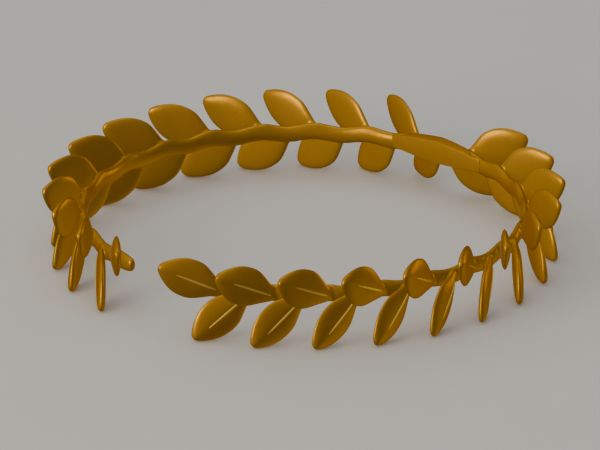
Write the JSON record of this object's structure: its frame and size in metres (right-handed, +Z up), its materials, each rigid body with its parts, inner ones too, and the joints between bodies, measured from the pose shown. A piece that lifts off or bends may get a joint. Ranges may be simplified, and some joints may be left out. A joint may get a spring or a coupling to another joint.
{
  "type": "laurel wreath crown",
  "caption": "Open circlet of two leafy branches for the head, rising and dropping leaves along a thin stem, joined by a flat plate at the back and open at the front, in satin gold metal",
  "frame": {"origin": "centre of the ring, on the surface that the lower leaves rest on", "axes": "+Z up through the ring, +Y towards the join at the back, the open front at -Y, +X towards the wearer's left"},
  "size_m": [0.211, 0.2055, 0.0338],
  "materials": {
    "gold": "cast, satin polished and gold plated"
  },
  "bodies": {
    "root": {"left_branch": "gold", "right_branch": "gold", "back_plate": "gold"}
  },
  "joints": []
}
